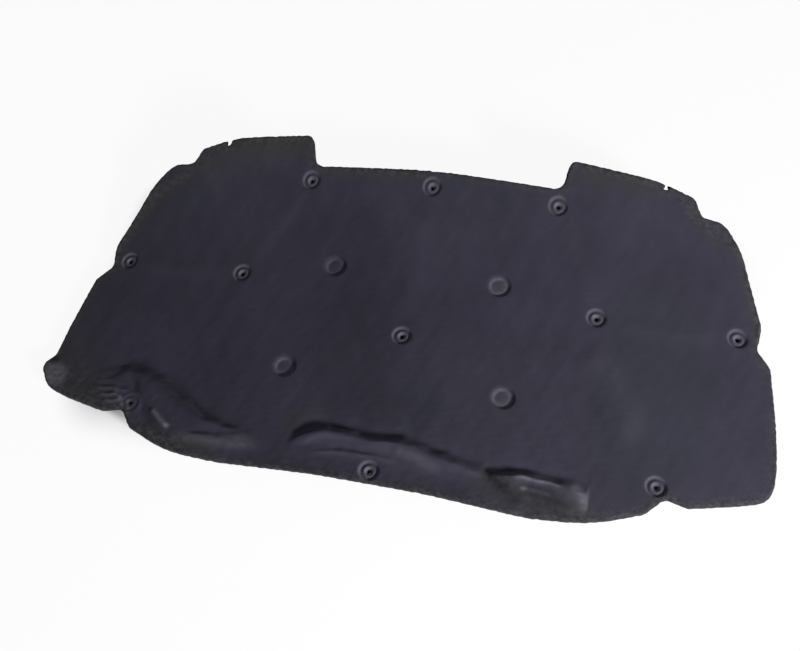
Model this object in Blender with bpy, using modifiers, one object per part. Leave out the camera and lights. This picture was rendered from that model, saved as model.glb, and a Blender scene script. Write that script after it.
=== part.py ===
"""Hood insulation pad: one moulded sheet of black non-woven felt, lying with its engine side up.

X runs across the vehicle, +Y towards the edge with the latch recess and +Z up. The pad is drawn
flat, with its pressed seats, discs, holes and raised ridges, and then formed over the hood's curve.
"""

import math

import bmesh
import bpy
from mathutils import Vector

# Sheet
PAD_THICKNESS = 0.018
EDGE_ROUND = 0.006

# Outline of the right half, by its main lines; the left half mirrors it
HALF_WIDTH = 0.682
RECESS_HALF_WIDTH = 0.2495
RECESS_LINE = 0.2975
RECESS_BOW = 0.008
TOWER_LINE = 0.3545
SHOULDER_HALF_WIDTH = 0.5195
SHOULDER_LINE = 0.2850
SIDE_NOTCH_LINE = 0.050
SIDE_NOTCH_DEPTH = 0.0420
NEAR_LINE = -0.3350
NEAR_NOTCH_HALF_WIDTH = 0.499
NEAR_NOTCH_LINE = -0.2635
RECESS_ROUND = 0.022
TOWER_ROUND = 0.016
NOTCH_ROUND = 0.018
SIDE_ROUND = 0.050
CORNER_ROUND = 0.040
GENTLE_ROUND = 0.300

# The left near corner is drawn out to a lip that curls up
LIP_REACH = 0.016
LIP_LINE = -0.187
LIP_START = 0.050
LIP_LIFT = 0.012

# Slots in the far edge of each tower
SLOT_WIDTH = 0.013
SLOT_DEPTH = 0.014
SLOT_HALF_SPACING = 0.447

# Clip seats: a round pressed hollow with a groove round a flat land, and a countersunk hole
SEAT_RADIUS = 0.0175
SEAT_DEPTH = 0.0045
SEAT_WALL_RUN = 0.0030
SEAT_GROOVE_WIDTH = 0.0018
SEAT_LAND_RADIUS = 0.0105
SEAT_LAND_DEPTH = 0.0028
COUNTERSINK_RADIUS = 0.0058
COUNTERSINK_DEPTH = 0.0040
CLIP_HOLE_RADIUS = 0.0036
SEAT_EDGE_DISTANCE = 0.0325
SIDE_SEAT_EDGE_DISTANCE = 0.0355
MIDDLE_SEAT_HALF_SPACING = 0.349
MIDDLE_SEAT_LINE = 0.056
SIDE_SEAT_LINE = 0.064
CENTRE_SEAT_LINE = -0.041
NEAR_SEAT_INSET = 0.0215
NEAR_PAIR_HALF_SPACING = 0.483
NEAR_PAIR_INSET = 0.0135

# Plain pressed discs
DISC_RADIUS = 0.0205
DISC_DEPTH = 0.0052
DISC_WALL_RUN = 0.0022
DISC_CROWN = 0.0010
FAR_DISC_PLACE = (0.162, 0.091)
NEAR_DISC_PLACE = (0.205, -0.136)
BROW = 0.0010

# Raised ridges along the near edge: a back flank up to a crest, and a long slope down to a foot line
RIDGE_HEIGHT = 0.010
RIDGE_BACK_RUN = 0.020
RIDGE_INSET = 0.0025
RIDGE_STEPS = 3
LEFT_RIDGE_SIDE_DISTANCE = 0.112
LEFT_RIDGE_END = -0.205
MIDDLE_RIDGE_START = -0.158
MIDDLE_RIDGE_END = 0.186
RIGHT_RIDGE_START = 0.192
RIGHT_RIDGE_END = 0.374

# The ridges' shapes from left to right: share of the way, distances of the crest and of the foot
# from the near edge, and share of the height, which is just under nothing where a ridge runs out
LEFT_RIDGE_SHAPE = (
    (0.00, 0.095, 0.085, -0.08),
    (0.10, 0.132, 0.105, 0.40),
    (0.20, 0.142, 0.097, 0.60),
    (0.34, 0.128, 0.056, 0.95),
    (0.46, 0.112, 0.042, 0.80),
    (0.59, 0.082, 0.030, 0.95),
    (0.67, 0.066, 0.026, 1.00),
    (0.82, 0.050, 0.026, 0.80),
    (1.00, 0.042, 0.030, -0.08),
)
MIDDLE_RIDGE_SHAPE = (
    (0.00, 0.036, 0.026, -0.08),
    (0.08, 0.058, 0.030, 0.90),
    (0.20, 0.077, 0.036, 1.00),
    (0.44, 0.066, 0.041, 1.00),
    (0.59, 0.075, 0.041, 1.00),
    (0.81, 0.060, 0.036, 0.80),
    (1.00, 0.048, 0.034, -0.08),
)
RIGHT_RIDGE_SHAPE = (
    (0.00, 0.040, 0.030, -0.08),
    (0.21, 0.046, 0.020, 0.70),
    (0.62, 0.052, 0.012, 1.00),
    (0.79, 0.045, 0.010, 1.05),
    (1.00, 0.042, 0.012, 1.10),
)

# Curve that the pad is formed to
SIDE_DROP = 0.0446
FAR_RISE = 0.0858
FAR_RISE_START = -0.010

# Facets
ARC_STEP = math.radians(16)
TURN_STEPS = 20
CUT_PAST = 0.015
COLUMN_SPACING = 0.085
ROW_SPACING = 0.040
MERGE = 0.00001

Z_UP = Vector((0, 0, 1))


def clear_scene():
    for old in list(bpy.data.objects):
        bpy.data.objects.remove(old, do_unlink=True)


def new_collection(name):
    made = bpy.data.collections.new(name)
    bpy.context.scene.collection.children.link(made)
    return made


def felt_material():
    made = bpy.data.materials.new("black_felt")
    made.use_nodes = True
    shader = made.node_tree.nodes["Principled BSDF"]
    shader.inputs["Base Color"].default_value = (0.032, 0.030, 0.040, 1)
    shader.inputs["Roughness"].default_value = 0.9
    shader.inputs["Metallic"].default_value = 0
    return made


def between(low, high, share):
    return low + (high - low) * share


def right_corners():
    """The right half's corners from the far edge's middle to the near edge's: across, along, radius."""
    notch_bottom = HALF_WIDTH - SIDE_NOTCH_DEPTH
    corner = HALF_WIDTH - 0.0085
    return [
        (RECESS_HALF_WIDTH, RECESS_LINE, RECESS_ROUND),
        (RECESS_HALF_WIDTH + TOWER_ROUND, TOWER_LINE, TOWER_ROUND),
        (between(RECESS_HALF_WIDTH, SHOULDER_HALF_WIDTH, 0.67), TOWER_LINE - 0.012, GENTLE_ROUND),
        (between(RECESS_HALF_WIDTH, SHOULDER_HALF_WIDTH, 0.94), SHOULDER_LINE + 0.032, NOTCH_ROUND),
        (SHOULDER_HALF_WIDTH, SHOULDER_LINE, NOTCH_ROUND),
        (between(SHOULDER_HALF_WIDTH, notch_bottom, 0.34), SHOULDER_LINE - 0.003, CORNER_ROUND),
        (between(SHOULDER_HALF_WIDTH, notch_bottom, 0.66), SHOULDER_LINE - 0.0485, GENTLE_ROUND),
        (notch_bottom + 0.0075, SIDE_NOTCH_LINE + 0.045, SIDE_ROUND),
        (notch_bottom, SIDE_NOTCH_LINE, NOTCH_ROUND),
        (HALF_WIDTH - 0.016, SIDE_NOTCH_LINE - 0.032, NOTCH_ROUND),
        (HALF_WIDTH - 0.004, SIDE_NOTCH_LINE - 0.140, GENTLE_ROUND),
        (HALF_WIDTH, LIP_LINE + 0.007, GENTLE_ROUND),
        (corner, LIP_LINE - 0.047, CORNER_ROUND),
        (between(NEAR_NOTCH_HALF_WIDTH, corner, 0.70), NEAR_NOTCH_LINE + 0.0115, GENTLE_ROUND),
        (between(NEAR_NOTCH_HALF_WIDTH, corner, 0.23), NEAR_NOTCH_LINE - 0.011, NOTCH_ROUND),
        (NEAR_NOTCH_HALF_WIDTH, NEAR_NOTCH_LINE, NOTCH_ROUND),
        (0.940 * NEAR_NOTCH_HALF_WIDTH, NEAR_NOTCH_LINE - 0.0355, NOTCH_ROUND),
        (0.772 * NEAR_NOTCH_HALF_WIDTH, NEAR_LINE + 0.003, GENTLE_ROUND),
        (0.561 * NEAR_NOTCH_HALF_WIDTH, NEAR_LINE - 0.009, GENTLE_ROUND),
        (0.200 * NEAR_NOTCH_HALF_WIDTH, NEAR_LINE, GENTLE_ROUND),
    ]


def pad_corners():
    """All corners, clockwise from the middle of the latch recess."""
    right = right_corners()
    left = [(-across, along, radius) for across, along, radius in reversed(right)]
    side_end = left.index((-HALF_WIDTH, LIP_LINE + 0.007, GENTLE_ROUND))
    lip = [
        (-HALF_WIDTH - LIP_REACH, LIP_LINE - 0.004, 0.012),
        (-HALF_WIDTH - 0.003, LIP_LINE + 0.022, 0.020),
    ]
    left[side_end:side_end + 1] = lip
    return [(0, RECESS_LINE + RECESS_BOW, 1.0)] + right + left


def rounded(corners):
    """The closed outline through the corners, each turned into an arc of its radius where it fits."""
    points = []
    for index, (across, along, radius) in enumerate(corners):
        here = Vector((across, along))
        before = Vector(corners[index - 1][:2]) - here
        after = Vector(corners[(index + 1) % len(corners)][:2]) - here
        turn = math.pi - before.angle(after)
        room = 0.48 * min(before.length, after.length)
        back_off = min(radius * math.tan(turn / 2), room)
        start = here + before.normalized() * back_off
        end = here + after.normalized() * back_off
        steps = max(1, math.ceil(turn / ARC_STEP))
        for step in range(steps + 1):
            t = step / steps
            points.append((1 - t) ** 2 * start + 2 * t * (1 - t) * here + t ** 2 * end)
    return points


def mesh_object(name, mesh, collection):
    made = bpy.data.objects.new(name, mesh)
    collection.objects.link(made)
    return made


def helper(obj):
    obj.hide_render = True
    obj.display_type = "WIRE"
    return obj


def prism(name, outline, bottom, top, edge_round, collection):
    """A flat plate with this outline and rounded edges, as a mesh."""
    curve = bpy.data.curves.new(name, "CURVE")
    curve.dimensions = "2D"
    curve.fill_mode = "BOTH"
    curve.extrude = (top - bottom) / 2 - edge_round
    curve.bevel_depth = edge_round
    curve.bevel_resolution = 1
    curve.offset = -edge_round
    spline = curve.splines.new("POLY")
    spline.points.add(len(outline) - 1)
    for point, place in zip(spline.points, outline):
        point.co = (place.x, place.y, 0, 1)
    spline.use_cyclic_u = True
    drawn = bpy.data.objects.new(name, curve)
    collection.objects.link(drawn)
    mesh = evaluated_mesh(drawn)
    bpy.data.objects.remove(drawn, do_unlink=True)
    form = bmesh.new()
    form.from_mesh(mesh)
    bmesh.ops.remove_doubles(form, verts=form.verts, dist=MERGE)
    bmesh.ops.dissolve_limit(form, angle_limit=math.radians(1), verts=form.verts, edges=form.edges)
    bmesh.ops.translate(form, verts=form.verts, vec=Z_UP * (top + bottom) / 2)
    bmesh.ops.recalc_face_normals(form, faces=form.faces)
    form.to_mesh(mesh)
    form.free()
    return mesh_object(name, mesh, collection)


def divide(flat):
    """Cut lines across the flat pad, so that it can bend."""
    form = bmesh.new()
    form.from_mesh(flat.data)
    for point, direction in cut_lines():
        everything = form.verts[:] + form.edges[:] + form.faces[:]
        bmesh.ops.bisect_plane(form, geom=everything, dist=0.00002, plane_co=point, plane_no=direction)
    form.to_mesh(flat.data)
    form.free()


def evaluated_mesh(obj):
    bpy.context.view_layer.update()
    graph = bpy.context.evaluated_depsgraph_get()
    return bpy.data.meshes.new_from_object(obj.evaluated_get(graph))


def turned(name, profile, collection):
    """A solid of revolution about +Z from (radius, height) points that run from the axis down its outside."""
    mesh = bpy.data.meshes.new(name)
    edges = [(step, step + 1) for step in range(len(profile) - 1)]
    mesh.from_pydata([(radius, 0, height) for radius, height in profile], edges, [])
    made = mesh_object(name, mesh, collection)
    screw = made.modifiers.new("Turn", "SCREW")
    screw.steps = TURN_STEPS
    screw.render_steps = TURN_STEPS
    screw.use_merge_vertices = True
    screw.merge_threshold = MERGE
    return made


def seat_places():
    """Where the eleven clip seats are, across and along."""
    notch_bottom = HALF_WIDTH - SIDE_NOTCH_DEPTH
    places = [
        (0, RECESS_LINE + RECESS_BOW - SEAT_EDGE_DISTANCE),
        (0, CENTRE_SEAT_LINE),
        (0, NEAR_LINE + NEAR_SEAT_INSET),
    ]
    for side in (-1, 1):
        places += [
            (side * RECESS_HALF_WIDTH, RECESS_LINE - SEAT_EDGE_DISTANCE),
            (side * MIDDLE_SEAT_HALF_SPACING, MIDDLE_SEAT_LINE),
            (side * (notch_bottom - SIDE_SEAT_EDGE_DISTANCE), SIDE_SEAT_LINE),
            (side * NEAR_PAIR_HALF_SPACING, NEAR_NOTCH_LINE + NEAR_PAIR_INSET),
        ]
    return places


def disc_places():
    return [(side * across, along) for side in (-1, 1) for across, along in (FAR_DISC_PLACE, NEAR_DISC_PLACE)]


def seat_profile():
    """Half section of what a clip seat takes away: hollow, groove, land, countersink and hole."""
    top = PAD_THICKNESS
    groove_outside = SEAT_RADIUS - SEAT_WALL_RUN
    groove_inside = groove_outside - SEAT_GROOVE_WIDTH
    hole_start = top - SEAT_LAND_DEPTH - COUNTERSINK_DEPTH
    return [
        (0, top + CUT_PAST),
        (SEAT_RADIUS + 2 * BROW, top + CUT_PAST),
        (SEAT_RADIUS + 2 * BROW, top + BROW),
        (SEAT_RADIUS, top - BROW),
        (groove_outside, top - SEAT_DEPTH),
        (groove_inside, top - SEAT_DEPTH),
        (SEAT_LAND_RADIUS, top - SEAT_LAND_DEPTH),
        (COUNTERSINK_RADIUS, top - SEAT_LAND_DEPTH),
        (CLIP_HOLE_RADIUS, hole_start),
        (CLIP_HOLE_RADIUS, -CUT_PAST),
        (0, -CUT_PAST),
    ]


def disc_profile():
    """Half section of what a plain disc takes away: a hollow with a slightly crowned floor."""
    top = PAD_THICKNESS
    floor_radius = DISC_RADIUS - DISC_WALL_RUN
    return [
        (0, top + CUT_PAST),
        (DISC_RADIUS + 2 * BROW, top + CUT_PAST),
        (DISC_RADIUS + 2 * BROW, top + BROW),
        (DISC_RADIUS, top - BROW),
        (floor_radius, top - DISC_DEPTH),
        (0.6 * floor_radius, top - DISC_DEPTH + 0.7 * DISC_CROWN),
        (0, top - DISC_DEPTH + DISC_CROWN),
    ]


def copies(name, pattern, places, collection):
    """One helper mesh with a copy of the pattern at each place."""
    source = evaluated_mesh(pattern)
    bpy.data.objects.remove(pattern, do_unlink=True)
    form = bmesh.new()
    for across, along in places:
        start = len(form.verts)
        form.from_mesh(source)
        form.verts.ensure_lookup_table()
        bmesh.ops.translate(form, verts=form.verts[start:], vec=(across, along, 0))
    bmesh.ops.recalc_face_normals(form, faces=form.faces)
    mesh = bpy.data.meshes.new(name)
    form.to_mesh(mesh)
    form.free()
    return helper(mesh_object(name, mesh, collection))


def ridge_stations(start, end, shape):
    """A ridge's stations from its shape, as places: across, crest line, foot line, height."""
    near = NEAR_LINE + RIDGE_INSET
    return [
        (between(start, end, share), near + crest, near + foot, RIDGE_HEIGHT * high)
        for share, crest, foot, high in shape
    ]


def smoothed(stations):
    """The stations with more on a smooth curve between them."""
    padded = [stations[0], *stations, stations[-1]]
    rows = []
    for before, here, there, after in zip(padded, padded[1:], padded[2:], padded[3:]):
        for step in range(RIDGE_STEPS):
            t = step / RIDGE_STEPS
            row = [between(here[0], there[0], t)]
            for p0, p1, p2, p3 in zip(before[1:], here[1:], there[1:], after[1:]):
                bend = 2 * p0 - 5 * p1 + 4 * p2 - p3 + (3 * (p1 - p2) + p3 - p0) * t
                row.append(p1 + 0.5 * t * (p2 - p0 + t * bend))
            rows.append(tuple(row))
    return rows + [stations[-1]]


def ridge_solid(name, stations, collection):
    """A row of sections, lofted: the back flank, the long front slope and a base inside the pad."""
    top = PAD_THICKNESS
    base = top / 2
    form = bmesh.new()
    rings = []
    for across, crest, foot, height in smoothed(stations):
        back_foot = crest + RIDGE_BACK_RUN
        sink = BROW / 2
        section = (
            (back_foot, base),
            (back_foot, top - sink),
            (crest + 0.15 * RIDGE_BACK_RUN, between(top, top + height, 0.94)),
            (crest - 0.10 * RIDGE_BACK_RUN, top + height),
            (foot, top - sink),
            (foot, base),
        )
        rings.append([form.verts.new((across, along, level)) for along, level in section])
    for before, after in zip(rings, rings[1:]):
        for corner in range(len(before)):
            beside = (corner + 1) % len(before)
            form.faces.new((before[corner], before[beside], after[beside], after[corner]))
    form.faces.new(rings[0])
    form.faces.new(reversed(rings[-1]))
    bmesh.ops.triangulate(form, faces=form.faces)
    bmesh.ops.recalc_face_normals(form, faces=form.faces)
    mesh = bpy.data.meshes.new(name)
    form.to_mesh(mesh)
    form.free()
    return helper(mesh_object(name, mesh, collection))


def slot_outline():
    """A slot that is open at the far edge and round at its end, about the origin at its mouth."""
    half = SLOT_WIDTH / 2
    return rounded([
        (-half, 2 * SLOT_WIDTH, 0),
        (half, 2 * SLOT_WIDTH, 0),
        (half, -SLOT_DEPTH, half),
        (-half, -SLOT_DEPTH, half),
    ])


def edge_at(outline, across):
    """How far along the outline's far side lies at this place across."""
    found = []
    for here, there in zip(outline, outline[1:] + outline[:1]):
        if min(here.x, there.x) <= across <= max(here.x, there.x) and here.x != there.x:
            found.append(here.y + (there.y - here.y) * (across - here.x) / (there.x - here.x))
    return max(found)


def combine(body, operation, other):
    cut = body.modifiers.new(f"{operation.title()} {other.name}", "BOOLEAN")
    cut.operation = operation
    cut.object = other
    cut.solver = "EXACT"


def height_of_curve(across, along):
    """How far the formed pad lies above its flat drawing."""
    side = -SIDE_DROP * (across / HALF_WIDTH) ** 2
    past_start = max(0, along - FAR_RISE_START) / (TOWER_LINE - FAR_RISE_START)
    past_lip = max(0, -across - HALF_WIDTH + LIP_START) / (LIP_START + LIP_REACH)
    beside_lip = min(1, max(0, (LIP_LINE + 0.025 - along) / 0.025))
    return side + FAR_RISE * past_start ** 2 + LIP_LIFT * past_lip ** 2 * beside_lip


def formed_height(across, along):
    """As height_of_curve, with each clip seat kept flat on its own tilted plane."""
    for seat_across, seat_along in seat_places():
        if math.hypot(across - seat_across, along - seat_along) < SEAT_RADIUS + 0.0005:
            middle = height_of_curve(seat_across, seat_along)
            slope_across = (height_of_curve(seat_across + 0.001, seat_along) - middle) / 0.001
            slope_along = (height_of_curve(seat_across, seat_along + 0.001) - middle) / 0.001
            return middle + slope_across * (across - seat_across) + slope_along * (along - seat_along)
    return height_of_curve(across, along)


def cut_lines():
    """Planes that divide the flat pad, so that it can bend: a point and a direction each."""
    columns = [side * COLUMN_SPACING * step for step in range(8) for side in (-1, 1)]
    columns += [-HALF_WIDTH + LIP_START * share for share in (1, 0.6, 0.25)]
    rows = [FAR_RISE_START + ROW_SPACING * step for step in range(9)]
    rows += [LIP_LINE + 0.025, LIP_LINE, -0.10, -0.26]
    lines = [(Vector((across, 0, 0)), Vector((1, 0, 0))) for across in sorted(set(columns))]
    return lines + [(Vector((0, along, 0)), Vector((0, 1, 0))) for along in rows]


def form_pad(flat, collection, material):
    """The flat pad bent to the hood's curve and set down with its lowest point on the floor."""
    form = bmesh.new()
    form.from_mesh(evaluated_mesh(flat))
    bmesh.ops.triangulate(form, faces=form.faces)
    bmesh.ops.remove_doubles(form, verts=form.verts, dist=MERGE)
    for vertex in form.verts:
        vertex.co.z += formed_height(vertex.co.x, vertex.co.y)
    lows = [min(vertex.co[axis] for vertex in form.verts) for axis in range(3)]
    highs = [max(vertex.co[axis] for vertex in form.verts) for axis in range(3)]
    middle = Vector(((lows[0] + highs[0]) / 2, (lows[1] + highs[1]) / 2, lows[2]))
    bmesh.ops.translate(form, verts=form.verts, vec=-middle)
    mesh = bpy.data.meshes.new("hood_pad")
    form.to_mesh(mesh)
    form.free()
    mesh.materials.append(material)
    mesh.shade_smooth()
    mesh.set_sharp_from_angle(angle=math.radians(35))
    return mesh_object("hood_pad", mesh, collection)


def main():
    clear_scene()
    parts = new_collection("hood_insulation_pad")
    helpers = new_collection("cutters")
    outline = rounded(pad_corners())
    flat = helper(prism("flat_pad", outline, 0, PAD_THICKNESS, EDGE_ROUND, helpers))
    divide(flat)

    seat = turned("seat_pattern", seat_profile(), helpers)
    seats = copies("seats", seat, seat_places(), helpers)
    disc = turned("disc_pattern", disc_profile(), helpers)
    discs = copies("discs", disc, disc_places(), helpers)

    slot = prism("slot_pattern", slot_outline(), -CUT_PAST, PAD_THICKNESS + CUT_PAST, 0, helpers)
    mouths = [(side * SLOT_HALF_SPACING, edge_at(outline, side * SLOT_HALF_SPACING)) for side in (-1, 1)]
    slots = copies("edge_slots", slot, mouths, helpers)

    ridges = {
        "ridge_left": (LEFT_RIDGE_SIDE_DISTANCE - HALF_WIDTH, LEFT_RIDGE_END, LEFT_RIDGE_SHAPE),
        "ridge_middle": (MIDDLE_RIDGE_START, MIDDLE_RIDGE_END, MIDDLE_RIDGE_SHAPE),
        "ridge_right": (RIGHT_RIDGE_START, RIGHT_RIDGE_END, RIGHT_RIDGE_SHAPE),
    }
    for name, (start, end, shape) in ridges.items():
        combine(flat, "UNION", ridge_solid(name, ridge_stations(start, end, shape), helpers))
    combine(flat, "DIFFERENCE", discs)
    combine(flat, "DIFFERENCE", seats)
    combine(flat, "DIFFERENCE", slots)

    form_pad(flat, parts, felt_material())


main()
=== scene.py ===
"""Looks of the hood insulation pad: its felt surface in full detail, its studio light and its camera.

The pad is drawn flat, as a fine mesh whose heights follow from the pad's own features, and then
bent to the curve of the hood and set where the frame holds the part. Metres, +Z up.
"""

import math

import bmesh
import bpy
import numpy as np
from mathutils import Matrix, Vector
from mathutils.geometry import delaunay_2d_cdt


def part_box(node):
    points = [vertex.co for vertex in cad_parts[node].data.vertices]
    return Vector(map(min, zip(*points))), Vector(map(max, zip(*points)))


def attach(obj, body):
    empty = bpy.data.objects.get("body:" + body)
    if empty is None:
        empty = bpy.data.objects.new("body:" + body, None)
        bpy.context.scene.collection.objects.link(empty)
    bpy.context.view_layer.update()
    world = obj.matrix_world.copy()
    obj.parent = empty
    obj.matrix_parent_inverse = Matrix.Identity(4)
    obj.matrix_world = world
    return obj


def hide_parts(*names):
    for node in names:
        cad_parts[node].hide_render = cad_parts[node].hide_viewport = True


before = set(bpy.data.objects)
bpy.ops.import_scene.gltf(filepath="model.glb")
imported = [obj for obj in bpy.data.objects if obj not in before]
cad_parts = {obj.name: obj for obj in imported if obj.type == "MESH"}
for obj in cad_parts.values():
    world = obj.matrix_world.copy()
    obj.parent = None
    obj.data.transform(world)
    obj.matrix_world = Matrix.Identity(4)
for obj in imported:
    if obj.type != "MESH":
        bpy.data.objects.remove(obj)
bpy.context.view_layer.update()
LOW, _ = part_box("hood_pad")

# Sheet and outline, with the part's own sizes
THICKNESS = 0.018
EDGE_ROUND = 0.006
HALF_WIDTH = 0.682
RECESS_HALF_WIDTH = 0.2495
RECESS_LINE = 0.2975
RECESS_BOW = 0.008
TOWER_LINE = 0.3545
SHOULDER_HALF_WIDTH = 0.5195
SHOULDER_LINE = 0.2850
SIDE_NOTCH_LINE = 0.050
NOTCH_BOTTOM = HALF_WIDTH - 0.042
NEAR_LINE = -0.3350
NEAR_NOTCH_HALF_WIDTH = 0.499
NEAR_NOTCH_LINE = -0.2635
LIP_REACH = 0.016
LIP_LINE = -0.187
LIP_START = 0.050
LIP_LIFT = 0.012
LIP_SIDE_RUN = 0.025
RECESS_ROUND = 0.022
TOWER_ROUND = 0.016
NOTCH_ROUND = 0.018
SIDE_ROUND = 0.050
CORNER_ROUND = 0.040
GENTLE_ROUND = 0.3

# Slots, smaller than the part's, as they look in the photo; the right one is narrower still at its mouth
SLOT_WIDTH = 0.010
SLOT_DEPTH = 0.009
SLOT_HALF_SPACING = 0.447
RIGHT_SLOT_MOUTH = 0.0042

# From the middle of the drawing to the part's origin, which is the middle of its box
DRAWING_SHIFT = (0.007827, -0.005389)

# Curve that the pad is formed to
SIDE_DROP = 0.0446
FAR_RISE = 0.0858
FAR_RISE_START = -0.010

# Clip seats and plain discs: their places, then (radius, depth) along their sections from the outside in
SEAT_RADIUS = 0.0175
SEATS = [(0, 0.273), (0, -0.041), (0, -0.3135)] + [
    (side * across, along)
    for side in (-1, 1)
    for across, along in ((0.2495, 0.265), (0.349, 0.056), (0.6045, 0.064), (0.483, -0.250))
]
SEAT_SECTION = (
    (0.0208, 0.0), (0.0197, 0.0002), (0.0186, 0.0009), (0.0174, 0.0022), (0.0162, 0.0036),
    (0.0152, 0.0044), (0.0140, 0.0047), (0.0128, 0.0044), (0.0114, 0.0035), (0.0102, 0.0029),
    (0.0089, 0.0028), (0.0076, 0.0033), (0.0062, 0.0044), (0.0050, 0.0057), (0.0041, 0.0067),
    (0.0036, 0.0073), (0.0031, 0.0078),
)
HOLE_RADIUS = 0.0031
HOLE_FOOT_RADIUS = 0.0015
DISCS = [(side * across, along) for side in (-1, 1) for across, along in ((0.162, 0.091), (0.205, -0.136))]
DISC_SECTION = (
    (0.0242, 0.0), (0.0232, 0.0002), (0.0220, 0.0009), (0.0208, 0.0019), (0.0196, 0.0031),
    (0.0184, 0.0042), (0.0172, 0.0050), (0.0158, 0.0055), (0.0140, 0.0054), (0.0115, 0.0049),
    (0.0075, 0.0045), (0.0035, 0.0044), (0.0, 0.0044),
)
# Past each seat's radius, where the curve of the pad leaves the seat's plane and where folds set in
LEVEL_RUN = (0.0005, 0.0040)
CALM_RUN = (0.001, 0.012)

# How much paler than plain felt the seats and discs are painted, as (radius, share) from the outside in:
# partly the paler pressed felt, partly painted highlight on the walls that face the lamp; negative where
# painted shade darkens a seat's rim and groove or a disc's rim
SEAT_LIGHT_AND_TONE = (
    (0.0230, 0.0), (0.0208, -0.02), (0.0192, 0.07), (0.0176, 0.20), (0.0162, 0.15),
    (0.0148, -0.03), (0.0134, -0.01), (0.0118, 0.07), (0.0104, 0.10), (0.0088, 0.13),
    (0.0074, 0.26), (0.0060, 0.34), (0.0049, 0.24), (0.0040, 0.06), (0.0031, 0.0),
)
DISC_LIGHT_AND_TONE = (
    (0.0246, 0.0), (0.0224, -0.07), (0.0208, 0.0), (0.0194, 0.08), (0.0178, 0.18), (0.0160, 0.23),
    (0.0138, 0.20), (0.0112, 0.13), (0.0078, 0.08), (0.0040, 0.07), (0.0, 0.08),
)
# The near left seat, all but lost among the folds in the photo: the shares left of its depth and paleness
LOST_SEAT = (-0.483, -0.250)
LOST_DEPTH_SHARE = 0.38
LOST_PALE_SHARE = 0.20
# The painted highlight on the lifted lip, which fades between two radii
LIP_MIDDLE = (-0.664, -0.211)
LIP_HIGHLIGHT = 0.20
LIP_FADE = (0.016, 0.034)
LIP_WANDER = 0.003
LIP_MOTTLE = 0.3
# Small pale specks among the folds
SPECKS = (
    (-0.483, -0.262), (-0.490, -0.246), (-0.480, -0.272), (-0.506, -0.245), (-0.520, -0.233),
    (-0.497, -0.256), (-0.391, -0.288), (-0.394, -0.286),
)
SPECK_RADIUS = 0.0042
SPECK_PALE = 0.24

# Tones towards the edge, each as its share at the edge and its reach; the dark one is painted shade along the
# rounded edge
RIM_GREY = (0.75, 0.010)
WIDE_RIM_GREY = (0.40, 0.035)
RIM_SPECKLED = (0.80, 0.008)
RIM_SHADE = (0.42, 0.005)
# Where the grey reaches far in: between these places across and along
WIDE_RIM_SIDE = (0.52, 0.60)
WIDE_RIM_FAR = (0.290, 0.320)
# The pale line along the rim: its share, its distance from the edge and its half width
RIM_LINE_PALE = 0.022
RIM_LINE_INSET = 0.010
RIM_LINE_HALF_WIDTH = 0.005
# Painted shade on the clip holes' walls, full at the underside
HOLE_SHADE = 0.9

# Unevenness of the surface, the outline, the ridges and the tones: height, length of the waves, seed
SLOW_LUMPS = (0.00030, 0.055, 3)
QUICK_LUMPS = (0.00014, 0.018, 4)
EDGE_LUMPS = (0.00036, 0.008, 5)
OUTLINE_WAVES = ((0.0004, 0.013, 21), (0.0004, 0.011, 22))
CREST_WAVES = (0.0022, 0.050, 31)
BACK_WAVES = (0.13, 0.080, 32)
PALE_WAVES = (0.16, 0.010, 42)
LIP_WAVES = (1, 0.012, 43)
WAVE_COUNT = 7
EDGE_LUMPS_REACH = 0.012
# How far in from the edge folds, lumps and ridges reach their full height
RELIEF_RUN = 0.014

# Mesh: the spacing of its points
EDGE_SPACING = 0.0040
FIELD_SPACING = 0.0046
FINE_SPACING = 0.0024
UNDER_SPACING = 0.0120
FIELD_UNEVENNESS = 0.12
FIELD_SEED = 11
FINE_SEED = 12
# The fine field lies nearer than this line, up to this place across
FINE_LINE = -0.165
FINE_END = 0.42
RING_COUNT = 36
SMALL_RING_RADIUS = 0.006
HOLE_SIDES = 18
CORNER_PASSES = 4
RIM_ANGLES = (22, 38, 52, 66, 78, 90)
RIM_INSETS = (0.0080, 0.0100, 0.0125)
# How far the fields and the rim's lines keep from what has points of its own
FIELD_TO_EDGE = 0.0148
FIELD_TO_SEAT = 0.0215
FIELD_TO_DISC = 0.0248
RIM_TO_SEAT = 0.0205
UNDER_TO_EDGE = 0.010
UNDER_TO_SEAT = 0.0085


def between(low, high, share):
    """The value at this share of the way from low to high."""
    return low + (high - low) * share


def smooth(low, high, value):
    """0 below low, 1 above high, and an even S between them."""
    t = np.clip((value - low) / (high - low), 0, 1)
    return t * t * (3 - 2 * t)


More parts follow.
